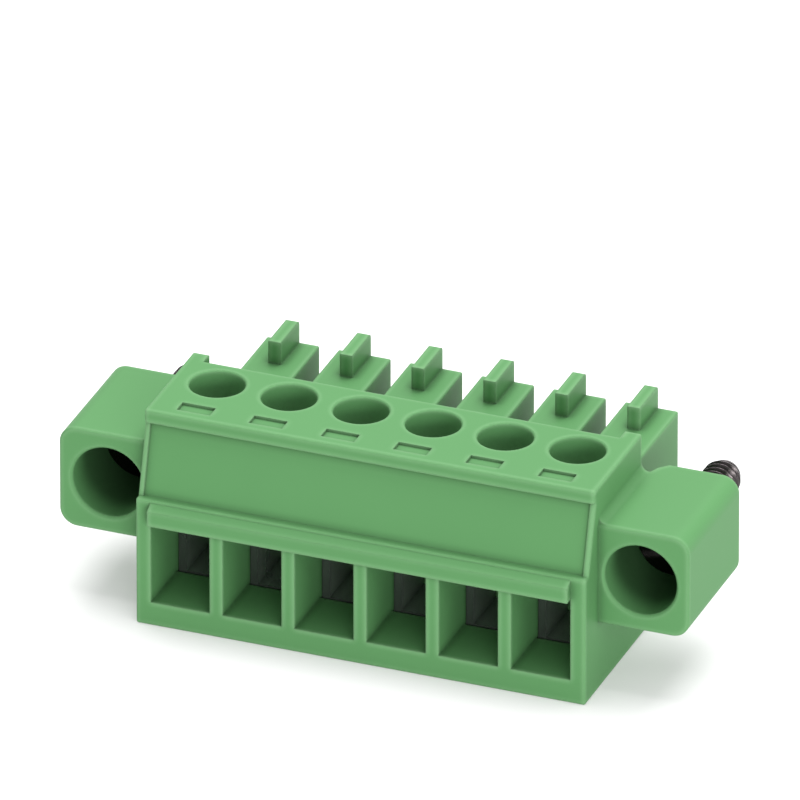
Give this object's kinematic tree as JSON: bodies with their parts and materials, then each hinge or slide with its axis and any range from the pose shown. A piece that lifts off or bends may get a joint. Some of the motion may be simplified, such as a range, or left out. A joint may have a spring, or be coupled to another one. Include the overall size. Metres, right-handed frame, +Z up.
{
  "type": "pluggable terminal block",
  "caption": "Green plug for a board header: a row of square wire entries with screw-lifted box clamps, mating fingers with spring contacts, and a screw flange at each end.",
  "frame": {"origin": "centre of the overall footprint, on the base plane", "axes": "+X along the row of poles, +Y towards the mating side, +Z up, towards the screw holes"},
  "size_m": [0.0332, 0.0158, 0.0113],
  "materials": {
    "green_moulding": "satin moulded polyamide",
    "tinned_contact": "tin plated",
    "plated_sleeve": "nickel plated",
    "plated_screw": "zinc plated",
    "dark_screw": "zinc plated, dulled"
  },
  "bodies": {
    "housing": {"housing": "green_moulding", "contact_1": "tinned_contact", "contact_2": "tinned_contact", "contact_3": "tinned_contact", "contact_4": "tinned_contact", "contact_5": "tinned_contact", "contact_6": "tinned_contact"},
    "clamp_screw_1": {"clamp_screw_1": "plated_screw"},
    "clamp_sleeve_1": {"clamp_sleeve_1": "plated_sleeve"},
    "clamp_screw_2": {"clamp_screw_2": "plated_screw"},
    "clamp_sleeve_2": {"clamp_sleeve_2": "plated_sleeve"},
    "clamp_screw_3": {"clamp_screw_3": "plated_screw"},
    "clamp_sleeve_3": {"clamp_sleeve_3": "plated_sleeve"},
    "clamp_screw_4": {"clamp_screw_4": "plated_screw"},
    "clamp_sleeve_4": {"clamp_sleeve_4": "plated_sleeve"},
    "clamp_screw_5": {"clamp_screw_5": "plated_screw"},
    "clamp_sleeve_5": {"clamp_sleeve_5": "plated_sleeve"},
    "clamp_screw_6": {"clamp_screw_6": "plated_screw"},
    "clamp_sleeve_6": {"clamp_sleeve_6": "plated_sleeve"},
    "flange_screw_left": {"flange_screw_left": "dark_screw"},
    "flange_screw_right": {"flange_screw_right": "dark_screw"}
  },
  "joints": [
    {"name": "clamp_screw_1_turn", "type": "hinge", "parent": "housing", "child": "clamp_screw_1", "pos_m": [-0.00953, -0.00237, 0.008], "axis": [0, 0, -1], "range_deg": [0, 1890]},
    {"name": "clamp_sleeve_1_lift", "type": "slide", "parent": "housing", "child": "clamp_sleeve_1", "axis": [0, 0, 1], "range_m": [0, 0.0021]},
    {"name": "clamp_screw_2_turn", "type": "hinge", "parent": "housing", "child": "clamp_screw_2", "pos_m": [-0.00571, -0.00237, 0.008], "axis": [0, 0, -1], "range_deg": [0, 1890]},
    {"name": "clamp_sleeve_2_lift", "type": "slide", "parent": "housing", "child": "clamp_sleeve_2", "axis": [0, 0, 1], "range_m": [0, 0.0021]},
    {"name": "clamp_screw_3_turn", "type": "hinge", "parent": "housing", "child": "clamp_screw_3", "pos_m": [-0.00191, -0.00237, 0.008], "axis": [0, 0, -1], "range_deg": [0, 1890]},
    {"name": "clamp_sleeve_3_lift", "type": "slide", "parent": "housing", "child": "clamp_sleeve_3", "axis": [0, 0, 1], "range_m": [0, 0.0021]},
    {"name": "clamp_screw_4_turn", "type": "hinge", "parent": "housing", "child": "clamp_screw_4", "pos_m": [0.00191, -0.00237, 0.008], "axis": [0, 0, -1], "range_deg": [0, 1890]},
    {"name": "clamp_sleeve_4_lift", "type": "slide", "parent": "housing", "child": "clamp_sleeve_4", "axis": [0, 0, 1], "range_m": [0, 0.0021]},
    {"name": "clamp_screw_5_turn", "type": "hinge", "parent": "housing", "child": "clamp_screw_5", "pos_m": [0.00571, -0.00237, 0.008], "axis": [0, 0, -1], "range_deg": [0, 1890]},
    {"name": "clamp_sleeve_5_lift", "type": "slide", "parent": "housing", "child": "clamp_sleeve_5", "axis": [0, 0, 1], "range_m": [0, 0.0021]},
    {"name": "clamp_screw_6_turn", "type": "hinge", "parent": "housing", "child": "clamp_screw_6", "pos_m": [0.00953, -0.00237, 0.008], "axis": [0, 0, -1], "range_deg": [0, 1890]},
    {"name": "clamp_sleeve_6_lift", "type": "slide", "parent": "housing", "child": "clamp_sleeve_6", "axis": [0, 0, 1], "range_m": [0, 0.0021]},
    {"name": "flange_screw_left_turn", "type": "hinge", "parent": "housing", "child": "flange_screw_left", "pos_m": [-0.01406, 0.00142, 0.0065], "axis": [0, 1, 0], "continuous": true},
    {"name": "flange_screw_right_turn", "type": "hinge", "parent": "housing", "child": "flange_screw_right", "pos_m": [0.01406, 0.00142, 0.0065], "axis": [0, 1, 0], "continuous": true}
  ],
  "couplings": [
    {"joint": "clamp_screw_1_turn", "follows": "clamp_sleeve_1_lift", "rad_per_m": 15708},
    {"joint": "clamp_screw_2_turn", "follows": "clamp_sleeve_2_lift", "rad_per_m": 15708},
    {"joint": "clamp_screw_3_turn", "follows": "clamp_sleeve_3_lift", "rad_per_m": 15708},
    {"joint": "clamp_screw_4_turn", "follows": "clamp_sleeve_4_lift", "rad_per_m": 15708},
    {"joint": "clamp_screw_5_turn", "follows": "clamp_sleeve_5_lift", "rad_per_m": 15708},
    {"joint": "clamp_screw_6_turn", "follows": "clamp_sleeve_6_lift", "rad_per_m": 15708}
  ]
}
